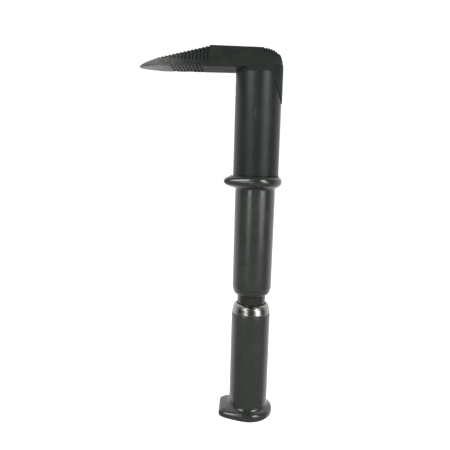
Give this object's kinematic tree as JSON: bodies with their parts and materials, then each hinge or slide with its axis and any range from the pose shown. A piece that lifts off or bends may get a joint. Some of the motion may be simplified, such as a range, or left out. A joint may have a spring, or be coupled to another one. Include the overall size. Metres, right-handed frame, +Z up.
{
  "type": "slide hammer pick",
  "caption": "Hand-held slide hammer pick: a serrated wedge-shaped beak at right angles on a steel tube, with a fixed fore handle and a sliding rear handle that drives it.",
  "frame": {"origin": "centre of the pommel's flat bottom, on the handle axis", "axes": "+Z up along the handle axis towards the head; -X is the way the beak points; Y is across the tool, which is mirror-symmetric in the plane y = 0"},
  "size_m": [0.1412, 0.052, 0.3686],
  "materials": {
    "black_oxide": "black oxide forged steel, satin, worn on the tooth edges",
    "black_paint": "dark grey-green painted steel tube, satin",
    "vinyl": "moulded black vinyl, satin with a soft shine",
    "chrome": "hard chrome, polished",
    "rod_black": "black nitrided steel bar, polished",
    "steel": "turned bright steel",
    "bronze": "turned bearing bronze",
    "nylon": "natural nylon, matt",
    "rubber": "black nitrile rubber, matt"
  },
  "bodies": {
    "tool_body": {"beak_head": "black_oxide", "head_dowel_pin_upper": "steel", "head_dowel_pin_lower": "steel", "body_tube": "black_paint", "tube_adapter": "steel", "adapter_dowel_pin_upper": "steel", "adapter_dowel_pin_lower": "steel", "fore_handle_tube": "steel", "fore_grip": "vinyl", "slide_rod": "rod_black", "rod_guide_band": "nylon"},
    "hammer_handle": {"guide_collar": "chrome", "rod_wiper": "rubber", "guide_bush": "bronze", "hammer_tube": "steel", "key_screw": "steel", "anvil_plug": "steel", "strike_disc": "steel", "anvil_dowel_pin": "steel", "rear_grip": "vinyl"}
  },
  "joints": [
    {"name": "hammer_slide", "type": "slide", "parent": "tool_body", "child": "hammer_handle", "axis": [0, 0, -1], "range_m": [0, 0.06]}
  ]
}
